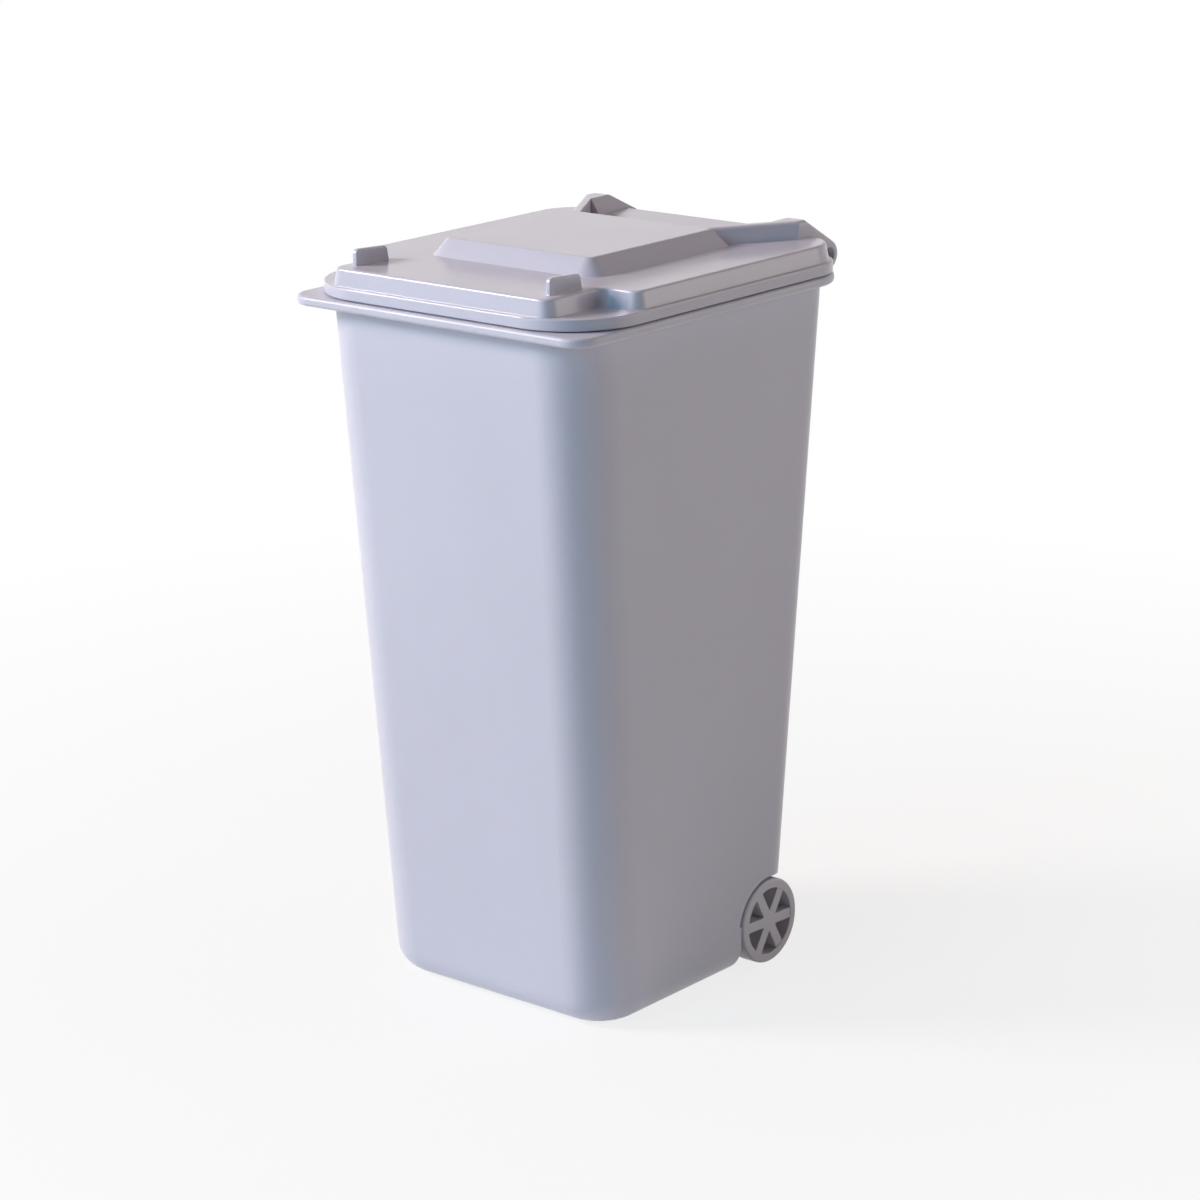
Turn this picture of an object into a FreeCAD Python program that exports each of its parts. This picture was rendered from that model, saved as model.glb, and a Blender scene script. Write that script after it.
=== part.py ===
"""A desk-size wheelie bin: tapered tub, hinged lid, two hinge pins, and two wheels on an axle.

The front faces -Y, the hinge and the wheels are at the back (+Y), and the bin stands on z = 0.
"""
import FreeCAD, Part
import math
import os

# Tub, all in millimetres
tub_height = 138.5
tub_top_width = 66.8
tub_top_front = 41.9
tub_top_rear = 35.5
tub_base_width = 60.6
tub_base_front = 33.0
tub_base_rear = 23.45
tub_front_radius = 10.6
tub_rear_radius = 6.5
tub_base_round = 6.2
tub_wall = 1.6
tub_floor = 2.0

# Rim plate round the mouth of the tub
rim_thickness = 1.9
rim_side_overhang = 3.6
rim_front_overhang = 3.3
rim_rear_overhang = 2.3
rim_front_radius = 5.0
rim_rear_radius = 10.5
rim_edge_round = 0.7

# Lid
lid_gap = 0.2
lid_side_inset = 0.25
lid_front_inset = 1.2
lid_rear_inset = 0.4
lid_front_radius = 15.0
lid_rear_radius = 10.0
lid_wall = 1.6
band_height = 2.3
band_edge_round = 0.4
band_lower_round = 0.25
ledge = 0.75
plateau_rise = 3.4
plateau_draft = 0.7
plateau_edge_round = 0.6
nose_side_step = 8.2
nose_length = 15.6
nose_radius = 3.0
step_inner_radius = 1.6
step_outer_radius = 2.6

# Raised panel on the lid
panel_rise = 3.35
panel_draft = 2.8
panel_side_margin = 15.55
panel_front_margin = 21.0
panel_rear_margin = 19.6
panel_rear_draft = 1.6
panel_radius = 4.2
panel_edge_round = 0.45

# Finger tabs on the nose of the lid
tab_thickness = 1.3
tab_length = 9.2
tab_height = 3.25
tab_rear_drop = 0.5
tab_rear_slant = 0.7
tab_side_inset = 3.5
tab_setback = 3.3
tab_corner_radius = 1.0
tab_edge_round = 0.4

# Hinge behind the rim
hinge_offset = 4.3
hinge_lift = 1.1
barrel_radius = 3.1
hinge_pin_diameter = 3.0
hinge_pin_clearance = 0.05
hinge_pin_recess = 1.2
hinge_pin_bite = 4.6
hinge_side_gap = 0.3
arm_side_inset = 9.25
arm_width = 6.7
arm_flare = 8.0
arm_flare_length = 12.8
arm_flare_setback = 5.6
arm_lean = 0.06
arm_edge_round = 0.9
arm_peak_setback = 7.6
shoulder_width = 4.5
neck_width = 2.6
rear_rise = 0.45
rear_rise_length = 9.0
rear_rise_inset = 0.2
lug_width = 5.2

# Wheels, axle and the recess that holds them
wheel_radius = 8.8
wheel_width = 4.4
wheel_stand = 0.35
wheel_edge_round = 0.5
wheel_rim_depth = 1.9
wheel_web = 1.2
spoke_count = 6
spoke_width = 2.1
spoke_setback = 0.1
spoke_turn = -2.0
hub_radius = 1.9
hub_face = 1.3
hub_stand = 0.9
axle_setback = 5.45
axle_diameter = 2.0
axle_clearance = 0.06
axle_end_float = 0.3
wheel_clearance = 0.45
wheel_front_clearance = 0.35
recess_lip_round = 0.8
bearing_radius = 3.0
bearing_width = 4.0
bearing_bury = 0.8

# Sizes that follow from those above
tub_top_half = tub_top_width / 2
tub_base_half = tub_base_width / 2
rim_half = tub_top_half + rim_side_overhang
rim_front = tub_top_front + rim_front_overhang
rim_rear = tub_top_rear + rim_rear_overhang
rim_top = tub_height + rim_thickness
lid_bottom = rim_top + lid_gap
band_top = lid_bottom + band_height
plateau_top = band_top + plateau_rise
panel_top = plateau_top + panel_rise
lid_half = rim_half - lid_side_inset
lid_front = rim_front - lid_front_inset
lid_rear = rim_rear - lid_rear_inset
plateau_half = lid_half - ledge
nose_half = plateau_half - nose_side_step
panel_half = lid_half - panel_side_margin
panel_base_front = lid_front - panel_front_margin
panel_rear = lid_rear - panel_rear_margin
arm_outer = lid_half - arm_side_inset
arm_inner = arm_outer - arm_width
shoulder_inner = arm_outer - shoulder_width
hinge_y = rim_rear + hinge_offset
hinge_z = rim_top + hinge_lift
lug_outer = arm_inner - hinge_side_gap
lug_inner = lug_outer - lug_width
axle_y = tub_base_rear - axle_setback
axle_z = wheel_radius
wheel_outer = tub_base_half + wheel_stand
wheel_inner = wheel_outer - wheel_width
recess_radius = wheel_radius + wheel_clearance
recess_front = axle_y - wheel_radius - wheel_front_clearance
recess_half = max(tub_top_half, tub_base_half)
press_interference = 0.02
slack = 1.0
least_radius = 0.3


def vector(x, y, z):
    return FreeCAD.Vector(x, y, z)


def rounded_wire(corners, z):
    """A closed outline at height z; each corner is (x, y, radius), listed anticlockwise."""
    starts, middles, ends = [], [], []
    count = len(corners)
    for i, (x, y, radius) in enumerate(corners):
        here = vector(x, y, z)
        before = corners[i - 1]
        after = corners[(i + 1) % count]
        back = (vector(before[0], before[1], z) - here).normalize()
        ahead = (vector(after[0], after[1], z) - here).normalize()
        half_angle = back.getAngle(ahead) / 2
        reach = radius / math.tan(half_angle)
        bisector = (back + ahead).normalize()
        to_arc = radius / math.sin(half_angle) - radius
        starts.append(here + back * reach)
        middles.append(here + bisector * to_arc)
        ends.append(here + ahead * reach)
    edges = []
    for i in range(count):
        edges.append(Part.Arc(starts[i], middles[i], ends[i]).toShape())
        edges.append(Part.LineSegment(ends[i], starts[(i + 1) % count]).toShape())
    return Part.Wire(edges)


def slab(corners, z_low, z_high):
    return Part.Face(rounded_wire(corners, z_low)).extrude(vector(0, 0, z_high - z_low))


def taper(corners_low, z_low, corners_high, z_high):
    wires = [rounded_wire(corners_low, z_low), rounded_wire(corners_high, z_high)]
    return Part.makeLoft(wires, True, True)


def side_prism(edges, x_low, x_high):
    """Extrude a closed outline that lies in the YZ plane from x_low to x_high."""
    shape = Part.Face(Part.Wire(edges)).extrude(vector(x_high - x_low, 0, 0))
    shape.translate(vector(x_low, 0, 0))
    return shape


def line(a, b):
    return Part.LineSegment(vector(0, *a), vector(0, *b)).toShape()


def arc(a, b, c):
    return Part.Arc(vector(0, *a), vector(0, *b), vector(0, *c)).toShape()


def polygon(points):
    return [line(points[i], points[(i + 1) % len(points)]) for i in range(len(points))]


def on_circle(centre, radius, angle):
    return centre[0] + radius * math.cos(angle), centre[1] + radius * math.sin(angle)


def cross_cylinder(radius, x_low, x_high, y, z):
    return Part.makeCylinder(radius, x_high - x_low, vector(x_low, y, z), vector(1, 0, 0))


def edges_at(shape, z):
    """The edges that lie wholly at height z."""
    found = []
    for edge in shape.Edges:
        box = edge.BoundBox
        if abs(box.ZMin - z) < 1e-4 and abs(box.ZMax - z) < 1e-4:
            found.append(edge)
    return found


def mirrored(shape):
    return shape.mirror(vector(0, 0, 0), vector(1, 0, 0))


def box_corners(half, front, rear, front_radius, rear_radius, inset=0.0):
    half -= inset
    front_y = -front + inset
    rear_y = rear - inset
    front_radius = max(front_radius - inset, least_radius)
    rear_radius = max(rear_radius - inset, least_radius)
    return [
        (-half, front_y, front_radius),
        (half, front_y, front_radius),
        (half, rear_y, rear_radius),
        (-half, rear_y, rear_radius),
    ]


def tub_section(z, inset=0.0):
    """Outline of the tapered tub at height z, drawn in by inset."""
    share = z / tub_height
    half = tub_base_half + (tub_top_half - tub_base_half) * share
    front = tub_base_front + (tub_top_front - tub_base_front) * share
    rear = tub_base_rear + (tub_top_rear - tub_base_rear) * share
    return box_corners(half, front, rear, tub_front_radius, tub_rear_radius, inset)


def recess_outline():
    """Side view of the wheel recess: an arch round the axle, open below and at the back."""
    front_reach = axle_y - recess_front
    front = (recess_front, axle_z + math.sqrt(recess_radius ** 2 - front_reach ** 2))
    top = (axle_y, axle_z + recess_radius)
    rear = (axle_y + recess_radius, axle_z)
    front_low = (front[0], -slack)
    rear_low = (rear[0], -slack)
    return [
        line(front_low, front),
        arc(front, top, rear),
        line(rear, rear_low),
        line(rear_low, front_low),
    ]


def recess_edges(body):
    """The edges where the arch of the recess meets the outside of the tub."""
    found = []
    for edge in body.Edges:
        on_arch = edge.BoundBox.ZMax > axle_z + slack
        for point in edge.discretize(Number=5):
            reach = math.hypot(point.y - axle_y, point.z - axle_z)
            on_arch = on_arch and abs(reach - recess_radius) < 1e-3
        if on_arch:
            found.append(edge)
    return found


def recess_cover_outline():
    """Side view of the block that keeps a wall over the recess inside the tub."""
    radius = recess_radius + tub_wall
    front = (axle_y - radius, axle_z)
    top = (axle_y, axle_z + radius)
    middle = on_circle((axle_y, axle_z), radius, 0.75 * math.pi)
    far = (tub_top_rear, top[1])
    far_low = (tub_top_rear, -slack)
    front_low = (front[0], -slack)
    return [
        line(front_low, front),
        arc(front, middle, top),
        line(top, far),
        line(far, far_low),
        line(far_low, front_low),
    ]


def bearing(x_low):
    """A hanger under the roof of the recess with a running bore for the axle."""
    roof = axle_z + recess_radius + bearing_bury
    left = (axle_y - bearing_radius, axle_z)
    right = (axle_y + bearing_radius, axle_z)
    outline = [
        arc(left, (axle_y, axle_z - bearing_radius), right),
        line(right, (right[0], roof)),
        line((right[0], roof), (left[0], roof)),
        line((left[0], roof), left),
    ]
    block = side_prism(outline, x_low, x_low + bearing_width)
    bore = axle_diameter / 2 + axle_clearance
    return block.cut(cross_cylinder(bore, x_low - slack, x_low + bearing_width + slack, axle_y, axle_z))


def hinge_lug():
    """The right-hand lug behind the rim, with a tight bore for its hinge pin."""
    root = rim_rear - rim_edge_round - slack
    web = polygon([
        (root, tub_height),
        (hinge_y, hinge_z - barrel_radius),
        (hinge_y, hinge_z),
        (hinge_y - barrel_radius, hinge_z),
        (rim_rear, rim_top - rim_edge_round),
        (root, rim_top - rim_edge_round),
    ])
    lug = side_prism(web, lug_inner, lug_outer)
    lug = lug.fuse(cross_cylinder(barrel_radius, lug_inner, lug_outer, hinge_y, hinge_z))
    bore = cross_cylinder(
        hinge_pin_diameter / 2 - press_interference, lug_outer - hinge_pin_bite, lug_outer + slack,
        hinge_y, hinge_z)
    return lug.removeSplitter().cut(bore)


def tub():
    outer = taper(tub_section(0), 0, tub_section(tub_height), tub_height)
    outer = outer.makeFillet(tub_base_round, edges_at(outer, 0))
    outer = outer.cut(side_prism(recess_outline(), -recess_half, recess_half))
    outer = outer.makeFillet(recess_lip_round, recess_edges(outer))
    mouth = rim_top + slack
    inner = taper(
        tub_section(tub_floor, tub_wall), tub_floor, tub_section(mouth, tub_wall), mouth)
    inner = inner.makeFillet(tub_base_round - tub_wall, edges_at(inner, tub_floor))
    inner = inner.cut(side_prism(recess_cover_outline(), -recess_half, recess_half))
    rim = slab(
        box_corners(rim_half, rim_front, rim_rear, rim_front_radius, rim_rear_radius),
        tub_height, rim_top)
    rim = rim.makeFillet(rim_edge_round, edges_at(rim, tub_height) + edges_at(rim, rim_top))
    body = outer.fuse(rim).cut(inner)
    bearing_x = wheel_inner - hub_stand - axle_end_float - bearing_width
    for lug in (hinge_lug(), bearing(bearing_x)):
        body = body.fuse(lug).fuse(mirrored(lug))
    return body.removeSplitter()


def plateau_corners(inset):
    """Outline of the lid's raised part, with its narrower nose, drawn in by inset."""
    nose = nose_half - inset
    main = plateau_half - inset
    front = -(lid_front - ledge) + inset
    step = -(lid_front - ledge) + nose_length + inset
    rear = lid_rear - ledge - inset
    rear_radius = lid_rear_radius - ledge - inset
    right = [
        (nose, front, max(nose_radius - inset, least_radius)),
        (nose, step, step_inner_radius + inset),
        (main, step, max(step_outer_radius - inset, least_radius)),
        (main, rear, rear_radius),
    ]
    left = [(-x, y, radius) for x, y, radius in reversed(right)]
    return right + left


def panel_corners(inset):
    """Outline of the raised panel, drawn in by inset; its rear end is cut off straight later."""
    spare_rear = panel_rear + panel_draft + panel_radius + slack
    return box_corners(panel_half, panel_base_front, spare_rear, panel_radius, panel_radius, inset)


def behind(y):
    """All the space behind a plane that passes y at the panel's foot and leans forward as it rises."""
    lean = panel_rear_draft / panel_rise
    high = panel_rise + slack
    low = plateau_top - lid_bottom + slack
    outline = polygon([
        (y - high * lean, plateau_top + high),
        (y + low * lean, plateau_top - low),
        (y + low * lean + rim_rear, plateau_top - low),
        (y + low * lean + rim_rear, plateau_top + high),
    ])
    return side_prism(outline, -lid_half, lid_half)


def raised_panel(buried):
    """The sloped panel with a straight rear end, sunk into the lid by buried."""
    sink = panel_draft * buried / panel_rise
    panel = taper(panel_corners(-sink), plateau_top - buried, panel_corners(panel_draft), panel_top)
    panel = panel.cut(behind(panel_rear))
    return panel.makeFillet(panel_edge_round, edges_at(panel, panel_top))


def hinge_arm():
    """The right-hand arm: an ear that drops to a barrel, and a thin neck that ties it to the panel."""
    peak = (hinge_y - arm_peak_setback, panel_top)
    axis = (hinge_y, hinge_z)
    run = math.hypot(axis[0] - peak[0], axis[1] - peak[1])
    fall = math.atan2(peak[1] - axis[1], axis[0] - peak[0]) - math.asin(barrel_radius / run)
    top_angle = math.pi / 2 - fall
    under_angle = math.pi + math.asin((hinge_z - lid_bottom) / barrel_radius)
    touch = on_circle(axis, barrel_radius, top_angle)
    under = on_circle(axis, barrel_radius, under_angle)
    round_back = on_circle(axis, barrel_radius, (top_angle + under_angle) / 2 - math.pi)
    start = neck_y(shoulder_inner)
    foot = plateau_top - lid_wall / 2
    inside = lid_rear - lid_wall - slack
    outline = [
        line((start, panel_top), (start, foot)),
        line((start, foot), (inside, foot)),
        line((inside, foot), (inside, lid_bottom)),
        line((inside, lid_bottom), under),
        arc(under, round_back, touch),
        line(touch, peak),
        line(peak, (start, panel_top)),
    ]
    arm = side_prism(outline, arm_inner, arm_outer).common(arm_roof())
    arm = arm.fuse(neck(peak[0], foot)).cut(arm_trim()).removeSplitter()
    arm = arm.makeFillet(arm_edge_round, arm_outer_edges(arm, peak[0]))
    bore = hinge_pin_diameter / 2 + hinge_pin_clearance
    return arm.cut(cross_cylinder(bore, arm_inner - slack, arm_outer + slack, hinge_y, hinge_z))


def neck_y(x):
    """Where the inner side of the neck passes x."""
    flare_end = lid_rear - arm_flare_setback
    return flare_end - (arm_outer - neck_width - x) * arm_flare_length / arm_flare


def arm_outer_edges(arm, peak_y):
    """The arm's crest, its peak, the fall of its outer side and the outer end of its barrel."""
    level = edges_at(arm, panel_top)
    chosen = [edge for edge in level if edge.BoundBox.XMax > arm_outer - slack]
    for edge in arm.Edges:
        box = edge.BoundBox
        falls = box.ZMin > hinge_z and box.YMin > peak_y - 1e-3 and edge.CenterOfMass.x > shoulder_inner
        barrel_end = isinstance(edge.Curve, Part.Circle) and box.XMin > shoulder_inner
        if falls or barrel_end:
            chosen.append(edge)
    return chosen


def neck(peak_y, foot):
    """The level top of the arm, which leaves the panel's rear corner on a slant."""
    root = panel_rear - panel_rear_draft - slack
    inner_start = shoulder_inner - (neck_y(shoulder_inner) - root) * arm_flare / arm_flare_length
    points = [
        (inner_start, root),
        (arm_outer, root),
        (arm_outer, peak_y),
        (shoulder_inner, peak_y),
        (shoulder_inner, neck_y(shoulder_inner)),
    ]
    corners = [vector(x, y, foot) for x, y in points]
    face = Part.Face(Part.makePolygon(corners + corners[:1]))
    return face.extrude(vector(0, 0, panel_top - foot))


def arm_roof():
    """The space under the arm's top: level over the shoulder, with a steep slope on the inner side."""
    low = hinge_z - barrel_radius - slack
    outer = arm_outer + slack
    corners = [
        vector(arm_inner, 0, low),
        vector(arm_inner, 0, plateau_top),
        vector(shoulder_inner, 0, panel_top),
        vector(outer, 0, panel_top),
        vector(outer, 0, low),
    ]
    face = Part.Face(Part.makePolygon(corners + corners[:1]))
    return face.extrude(vector(0, hinge_y + barrel_radius + slack, 0))


def arm_trim():
    """A block that trims the arm's outer face to its flare and its slight lean."""
    length = math.hypot(arm_flare, arm_flare_length)
    along = vector(arm_flare / length, arm_flare_length / length, 0)
    outward = vector(arm_flare_length / length, -arm_flare / length, 0)
    end = vector(arm_outer, lid_rear - arm_flare_setback, plateau_top)
    high = 2 * panel_rise
    start = end - along * lid_half
    lean = outward * (arm_lean * high)
    up = vector(0, 0, high)
    far = outward * lid_half
    corners = [start + lean - up, start - lean + up, start + far + up, start + far - up]
    face = Part.Face(Part.makePolygon(corners + corners[:1]))
    return face.extrude(along * (2 * lid_half))


def rear_slope():
    """The rear of the lid between the arms, which rises a little to an upright rear wall."""
    rear = lid_rear - rear_rise_inset
    start = rear - rear_rise_length
    outline = polygon([
        (start, plateau_top - lid_wall / 2),
        (start, plateau_top),
        (rear, plateau_top + rear_rise),
        (rear, band_top - band_height / 2),
        (rear - lid_wall, band_top - band_height / 2),
        (rear - lid_wall, plateau_top - lid_wall / 2),
    ])
    reach = (arm_inner + shoulder_inner) / 2
    return side_prism(outline, -reach, reach)


def tab():
    """The right-hand finger tab, a thin upright rib that runs front to back and is lower at the rear."""
    front = -(lid_front - ledge - plateau_draft) + tab_setback
    rear = front + tab_length
    top = plateau_top + tab_height
    base = plateau_top - lid_wall / 2
    outline = polygon([
        (front, base),
        (front, top),
        (rear - tab_rear_slant, top - tab_rear_drop),
        (rear, base),
    ])
    x_low = nose_half - tab_side_inset - tab_thickness / 2
    rib = side_prism(outline, x_low, x_low + tab_thickness)
    corners = [edge for edge in rib.Edges if edge.BoundBox.ZMin > plateau_top
               and edge.BoundBox.XLength > tab_thickness / 2]
    rib = rib.makeFillet(tab_corner_radius, corners)
    rounded = [edge for edge in rib.Edges if edge.BoundBox.ZMax > base + slack
               and edge.BoundBox.XLength < 1e-4]
    return rib.makeFillet(tab_edge_round, rounded)


def lid():
    band = slab(
        box_corners(lid_half, lid_front, lid_rear, lid_front_radius, lid_rear_radius),
        lid_bottom, band_top)
    band = band.makeFillet(band_edge_round, edges_at(band, band_top))
    band = band.makeFillet(band_lower_round, edges_at(band, lid_bottom))
    buried = band_height / 2
    sink = plateau_draft * buried / plateau_rise
    plateau = taper(plateau_corners(-sink), band_top - buried, plateau_corners(plateau_draft), plateau_top)
    plateau = plateau.makeFillet(plateau_edge_round, edges_at(plateau, plateau_top))
    shell = band.fuse(plateau).fuse(raised_panel(buried)).fuse(rear_slope())
    ceiling = plateau_top - lid_wall
    hollow_draft = plateau_draft * (ceiling - band_top) / plateau_rise
    hollow = taper(
        plateau_corners(lid_wall), lid_bottom - slack, plateau_corners(lid_wall + hollow_draft), ceiling)
    panel_hollow = taper(
        panel_corners(lid_wall), ceiling - slack, panel_corners(lid_wall + panel_draft), panel_top - lid_wall)
    panel_hollow = panel_hollow.cut(behind(panel_rear - lid_wall))
    shell = shell.cut(hollow)
    for piece in (hinge_arm(), tab()):
        shell = shell.fuse(piece).fuse(mirrored(piece))
    return shell.cut(panel_hollow).removeSplitter()


def hinge_pin():
    """The right-hand pin, tight in the tub's lug and free in the lid's arm."""
    start = lug_outer - hinge_pin_bite
    end = arm_outer - hinge_pin_recess
    return cross_cylinder(hinge_pin_diameter / 2, start, end, hinge_y, hinge_z)


def wheel():
    """The right-hand wheel: rim, spokes over a back web, and a blind hub pressed on the axle."""
    rim = cross_cylinder(wheel_radius, wheel_inner, wheel_outer, axle_y, axle_z)
    rim = rim.makeFillet(wheel_edge_round, [e for e in rim.Edges if e.BoundBox.XLength < 1e-4])
    hole_radius = wheel_radius - wheel_rim_depth
    body = rim.cut(
        cross_cylinder(hole_radius, wheel_inner + wheel_web, wheel_outer + slack, axle_y, axle_z))
    spoke_thickness = wheel_width - spoke_setback - wheel_web / 2
    spoke_x = wheel_outer - spoke_setback - spoke_thickness
    reach = hole_radius + wheel_rim_depth / 2
    for i in range(spoke_count):
        spoke = Part.makeBox(
            spoke_thickness, reach, spoke_width, vector(spoke_x, axle_y, axle_z - spoke_width / 2))
        turn = spoke_turn + i * 360.0 / spoke_count
        spoke.rotate(vector(0, axle_y, axle_z), vector(1, 0, 0), turn)
        body = body.fuse(spoke)
    hub_end = wheel_outer - spoke_setback
    body = body.fuse(cross_cylinder(hub_radius, wheel_inner - hub_stand, hub_end, axle_y, axle_z))
    socket = cross_cylinder(
        axle_diameter / 2 - press_interference, wheel_inner - wheel_width, wheel_outer - hub_face,
        axle_y, axle_z)
    return body.cut(socket).removeSplitter()


def axle():
    end = wheel_outer - hub_face
    return cross_cylinder(axle_diameter / 2, -end, end, axle_y, axle_z)


pieces = {
    "tub": tub(),
    "lid": lid(),
    "hinge_pin_right": hinge_pin(),
    "hinge_pin_left": mirrored(hinge_pin()),
    "axle": axle(),
    "wheel_right": wheel(),
    "wheel_left": mirrored(wheel()),
}

os.makedirs("parts", exist_ok=True)
for name, shape in pieces.items():
    shape.exportStep("parts/" + name + ".step")
    box = shape.BoundBox
    print(name, "solids", len(shape.Solids), "valid", shape.isValid(), "volume", round(shape.Volume, 1),
          "x", round(box.XMin, 2), round(box.XMax, 2), "y", round(box.YMin, 2), round(box.YMax, 2),
          "z", round(box.ZMin, 2), round(box.ZMax, 2))
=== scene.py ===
"""Looks for a desk-size wheelie bin: finishes for its moulded pieces, a floor, lights and a camera."""
import bpy
import math
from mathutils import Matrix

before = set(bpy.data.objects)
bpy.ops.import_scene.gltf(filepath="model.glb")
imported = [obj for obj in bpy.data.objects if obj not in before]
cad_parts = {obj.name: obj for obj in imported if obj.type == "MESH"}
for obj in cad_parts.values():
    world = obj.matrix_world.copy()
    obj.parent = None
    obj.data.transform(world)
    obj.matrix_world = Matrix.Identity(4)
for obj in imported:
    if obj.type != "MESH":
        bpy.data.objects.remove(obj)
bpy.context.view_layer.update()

# Camera: places in metres, angles in degrees, lens and sensor in millimetres
camera_place = (0.4473, -0.5234, 0.2754)
camera_turn = (73.793, 0.896, 40.121)
camera_lens = 107.94
sensor_width = 36.0
nearest_seen = 0.01

# Plain tones of the pieces, as linear colours
tub_tone = (0.620, 0.612, 0.690)
lid_tone = (0.625, 0.605, 0.690)
pin_tone = (0.610, 0.605, 0.670)
wheel_tone = (0.630, 0.615, 0.660)
steel_tone = (0.580, 0.580, 0.590)
floor_tone = (0.900, 0.900, 0.905)
plastic_ior = 1.49

# Floor: it glows to white away from the bin and keeps a faint shadow near it
floor_size = 8.0
floor_roughness = 0.9
shadow_white = 0.80
white_start = 0.05
white_end = 0.35

# Light
aim = (0.0, 0.0, 0.080)
ambient_strength = 0.020


def deselect_all():
    bpy.ops.object.select_all(action="DESELECT")


def start_material(name):
    material = bpy.data.materials.new(name)
    material.use_nodes = True
    return material


def shader_of(material):
    return material.node_tree.nodes["Principled BSDF"]


def node(material, kind):
    return material.node_tree.nodes.new(kind)


def link(material, source, target):
    material.node_tree.links.new(source, target)


def object_place(material, stretch=(1.0, 1.0, 1.0)):
    """Object coordinates in metres, stretched along the axes."""
    coordinates = node(material, "ShaderNodeTexCoord")
    mapping = node(material, "ShaderNodeMapping")
    mapping.inputs["Scale"].default_value = stretch
    link(material, coordinates.outputs["Object"], mapping.inputs["Vector"])
    return mapping.outputs["Vector"]


def noise(material, place, scale, detail):
    """A soft random pattern between zero and one."""
    texture = node(material, "ShaderNodeTexNoise")
    texture.inputs["Scale"].default_value = scale
    texture.inputs["Detail"].default_value = detail
    link(material, place, texture.inputs["Vector"])
    return texture.outputs["Fac"]


def remap(material, value, low, high, new_low, new_high):
    """Bring a value from one range to another and keep it inside."""
    change = node(material, "ShaderNodeMapRange")
    change.inputs["From Min"].default_value = low
    change.inputs["From Max"].default_value = high
    change.inputs["To Min"].default_value = new_low
    change.inputs["To Max"].default_value = new_high
    link(material, value, change.inputs["Value"])
    return change.outputs["Result"]


def add(material, first, second):
    total = node(material, "ShaderNodeMath")
    total.operation = "ADD"
    link(material, first, total.inputs[0])
    link(material, second, total.inputs[1])
    return total.outputs["Value"]


def mix_colours(material, share, first, second):
    """Blend two colours; each may be a fixed tone or the output of another node.

    The mixer keeps sockets for every kind of data: 6, 7 and the third output are those for colours.
    """
    mixer = node(material, "ShaderNodeMix")
    mixer.data_type = "RGBA"
    link(material, share, mixer.inputs[0])
    for socket, colour in ((mixer.inputs[6], first), (mixer.inputs[7], second)):
        if isinstance(colour, tuple):
            socket.default_value = (*colour, 1.0)
        else:
            link(material, colour, socket)
    return mixer.outputs[2]


def shade(tone, factor):
    """The tone made darker or lighter."""
    return tuple(channel * factor for channel in tone)


def soft_edges(material, radius):
    """A normal that rolls over sharp edges, and a value that is high only on them."""
    rounded = node(material, "ShaderNodeBevel")
    rounded.samples = 6
    rounded.inputs["Radius"].default_value = radius
    geometry = node(material, "ShaderNodeNewGeometry")
    compare = node(material, "ShaderNodeVectorMath")
    compare.operation = "DOT_PRODUCT"
    link(material, rounded.outputs["Normal"], compare.inputs[0])
    link(material, geometry.outputs["Normal"], compare.inputs[1])
    on_edge = remap(material, compare.outputs["Value"], 0.985, 0.80, 0.0, 1.0)
    return rounded.outputs["Normal"], on_edge


def bump(material, height, depth, normal):
    """A normal with fine relief, as deep as depth in metres."""
    relief = node(material, "ShaderNodeBump")
    relief.inputs["Strength"].default_value = 1.0
    relief.inputs["Distance"].default_value = depth
    link(material, height, relief.inputs["Height"])
    link(material, normal, relief.inputs["Normal"])
    return relief.outputs["Normal"]


def moulded_plastic(name, tone, gloss_low, gloss_high, grain_depth, edge_radius):
    """Moulded plastic: faint clouds and flow lines in the colour, fine skin grain, rubbed edges."""
    material = start_material(name)
    shader = shader_of(material)
    place = object_place(material)
    flow_place = object_place(material, (1.0, 1.0, 0.12))
    clouds = noise(material, place, scale=22.0, detail=3.0)
    flow = noise(material, flow_place, scale=160.0, detail=4.0)
    grain = noise(material, place, scale=2600.0, detail=2.0)
    handling = noise(material, place, scale=70.0, detail=5.0)
    rolled, on_edge = soft_edges(material, edge_radius)
    cloud_share = remap(material, clouds, 0.3, 0.7, 0.0, 1.0)
    colour = mix_colours(material, cloud_share, shade(tone, 0.975), shade(tone, 1.02))
    flow_share = remap(material, flow, 0.45, 0.75, 0.0, 0.12)
    colour = mix_colours(material, flow_share, colour, shade(tone, 1.08))
    wear_share = remap(material, on_edge, 0.0, 1.0, 0.0, 0.30)
    colour = mix_colours(material, wear_share, colour, shade(tone, 1.18))
    link(material, colour, shader.inputs["Base Color"])
    gloss = remap(material, handling, 0.35, 0.7, gloss_low, gloss_high)
    rubbed = remap(material, on_edge, 0.0, 1.0, 0.0, 0.06)
    link(material, add(material, gloss, rubbed), shader.inputs["Roughness"])
    skin = bump(material, grain, grain_depth, rolled)
    link(material, skin, shader.inputs["Normal"])
    shader.inputs["IOR"].default_value = plastic_ior
    return material


def tub_plastic():
    return moulded_plastic(
        "tub_plastic", tub_tone, gloss_low=0.30, gloss_high=0.38,
        grain_depth=0.000006, edge_radius=0.0004)


def lid_plastic():
    return moulded_plastic(
        "lid_plastic", lid_tone, gloss_low=0.16, gloss_high=0.24,
        grain_depth=0.000003, edge_radius=0.0003)


def pin_plastic():
    return moulded_plastic(
        "pin_plastic", pin_tone, gloss_low=0.34, gloss_high=0.44,
        grain_depth=0.000006, edge_radius=0.0002)


def wheel_plastic():
    return moulded_plastic(
        "wheel_plastic", wheel_tone, gloss_low=0.32, gloss_high=0.44,
        grain_depth=0.000006, edge_radius=0.0003)


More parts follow.
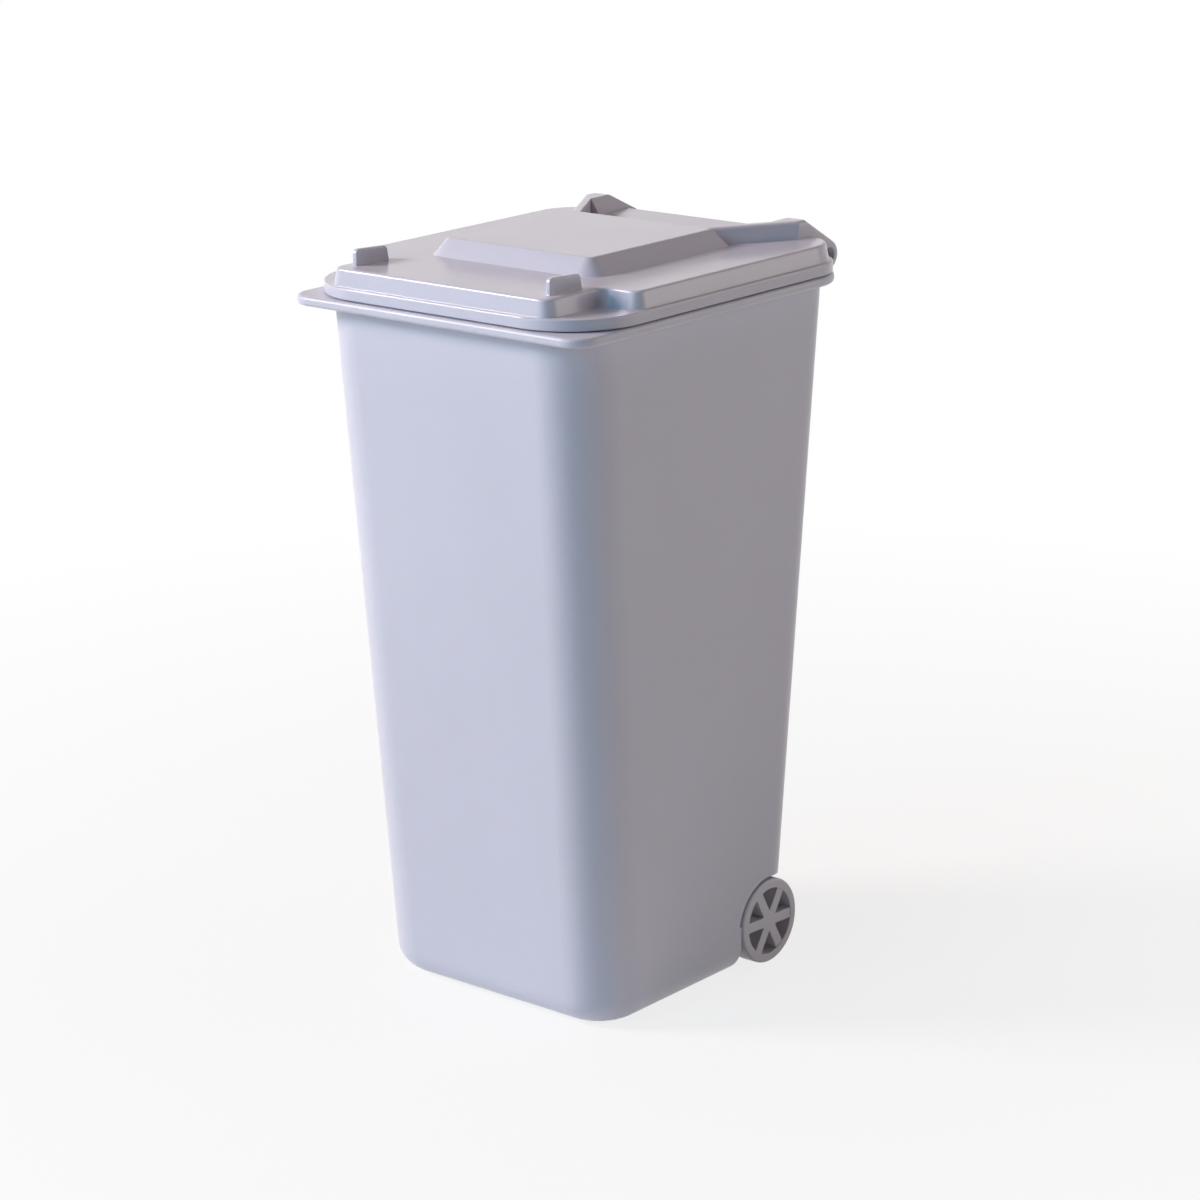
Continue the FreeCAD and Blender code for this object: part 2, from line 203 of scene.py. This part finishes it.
def axle_steel():
    """Drawn steel rod with fine lines along its length."""
    material = start_material("axle_steel")
    shader = shader_of(material)
    along = object_place(material, (0.02, 1.0, 1.0))
    lines = noise(material, along, scale=3000.0, detail=4.0)
    stain = noise(material, object_place(material), scale=120.0, detail=4.0)
    stain_share = remap(material, stain, 0.5, 0.75, 0.0, 0.5)
    colour = mix_colours(material, stain_share, steel_tone, shade(steel_tone, 0.7))
    link(material, colour, shader.inputs["Base Color"])
    gloss = remap(material, lines, 0.3, 0.7, 0.26, 0.42)
    link(material, gloss, shader.inputs["Roughness"])
    shader.inputs["Metallic"].default_value = 1.0
    return material


def dress(node_name, material):
    """Give a CAD node its finish in every material slot."""
    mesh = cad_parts[node_name].data
    if not mesh.materials:
        mesh.materials.append(material)
    for index in range(len(mesh.materials)):
        mesh.materials[index] = material


def larger(tree, first, second):
    choice = tree.nodes.new("ShaderNodeMath")
    choice.operation = "MAXIMUM"
    tree.links.new(first, choice.inputs[0])
    tree.links.new(second, choice.inputs[1])
    return choice.outputs["Value"]


def seen_by_eye(tree):
    """One where a ray comes from the camera, a reflection or clear material, and zero elsewhere."""
    path = tree.nodes.new("ShaderNodeLightPath")
    direct = larger(tree, path.outputs["Is Camera Ray"], path.outputs["Is Glossy Ray"])
    return larger(tree, direct, path.outputs["Is Transmission Ray"])


def floor_whiteness(material):
    """How far the floor shows as plain white: all of it far off, and most of it beside the bin."""
    reach = node(material, "ShaderNodeVectorMath")
    reach.operation = "LENGTH"
    link(material, object_place(material), reach.inputs[0])
    whiteness = remap(material, reach.outputs["Value"], white_start, white_end, shadow_white, 1.0)
    share = node(material, "ShaderNodeMath")
    share.operation = "MULTIPLY"
    link(material, seen_by_eye(material.node_tree), share.inputs[0])
    link(material, whiteness, share.inputs[1])
    return share.outputs["Value"]


def pale_floor():
    """A dull pale surface under a white glow that only the eye sees."""
    material = start_material("pale_floor")
    shader = shader_of(material)
    shader.inputs["Base Color"].default_value = (*floor_tone, 1.0)
    shader.inputs["Roughness"].default_value = floor_roughness
    shader.inputs["Specular IOR Level"].default_value = 0.0
    glow = node(material, "ShaderNodeEmission")
    glow.inputs["Strength"].default_value = 1.0
    blend = node(material, "ShaderNodeMixShader")
    link(material, floor_whiteness(material), blend.inputs["Fac"])
    link(material, shader.outputs["BSDF"], blend.inputs[1])
    link(material, glow.outputs["Emission"], blend.inputs[2])
    output = material.node_tree.nodes["Material Output"]
    link(material, blend.outputs["Shader"], output.inputs["Surface"])
    return material


def floor():
    """A plain floor that keeps a soft shadow of the bin."""
    deselect_all()
    bpy.ops.mesh.primitive_plane_add(size=floor_size, location=(0.0, 0.0, 0.0))
    plane = bpy.context.object
    plane.name = "floor"
    plane.data.materials.append(pale_floor())


def white_world():
    """White where it is seen, and a plain soft level where it lights the bin."""
    world = bpy.data.worlds.new("studio")
    bpy.context.scene.world = world
    world.use_nodes = True
    tree = world.node_tree
    background = tree.nodes["Background"]
    background.inputs["Color"].default_value = (1.0, 1.0, 1.0, 1.0)
    level = tree.nodes.new("ShaderNodeMapRange")
    level.inputs["To Min"].default_value = ambient_strength
    level.inputs["To Max"].default_value = 1.0
    tree.links.new(seen_by_eye(tree), level.inputs["Value"])
    tree.links.new(level.outputs["Result"], background.inputs["Strength"])


def soft_box(name, place, size, power, colour):
    """A square soft light that points at the middle of the bin."""
    lamp = bpy.data.lights.new(name, "AREA")
    lamp.size = size
    lamp.energy = power
    lamp.color = colour
    holder = bpy.data.objects.new(name, lamp)
    bpy.context.collection.objects.link(holder)
    holder.location = place
    dx, dy, dz = (aim[i] - place[i] for i in range(3))
    pitch = math.atan2(math.hypot(dx, dy), -dz)
    turn = math.atan2(-dx, dy)
    holder.rotation_euler = (pitch, 0.0, turn)


def lights():
    soft_box("key_box", (-0.929, -0.779, 0.780), size=0.40, power=17.5, colour=(1.0, 0.885, 0.86))
    soft_box("top_box", (-0.047, 0.266, 1.352), size=0.80, power=1.8, colour=(1.0, 0.50, 0.30))
    soft_box("front_fill", (-0.262, -1.231, 0.694), size=0.60, power=5.9, colour=(0.28, 0.70, 1.0))
    soft_box("right_fill", (1.041, 0.873, 0.419), size=0.90, power=4.8, colour=(1.0, 0.94, 0.90))


def camera():
    lens = bpy.data.cameras.new("camera")
    lens.lens = camera_lens
    lens.sensor_width = sensor_width
    lens.clip_start = nearest_seen
    holder = bpy.data.objects.new("camera", lens)
    bpy.context.collection.objects.link(holder)
    holder.location = camera_place
    holder.rotation_euler = tuple(math.radians(angle) for angle in camera_turn)
    bpy.context.scene.camera = holder


finishes = {
    "tub": tub_plastic(),
    "lid": lid_plastic(),
    "axle": axle_steel(),
}
pin_finish = pin_plastic()
wheel_finish = wheel_plastic()
for side in ("left", "right"):
    finishes["hinge_pin_" + side] = pin_finish
    finishes["wheel_" + side] = wheel_finish
for piece_name, finish in finishes.items():
    dress(piece_name, finish)

floor()
white_world()
lights()
camera()
bpy.context.scene.view_settings.view_transform = "Standard"
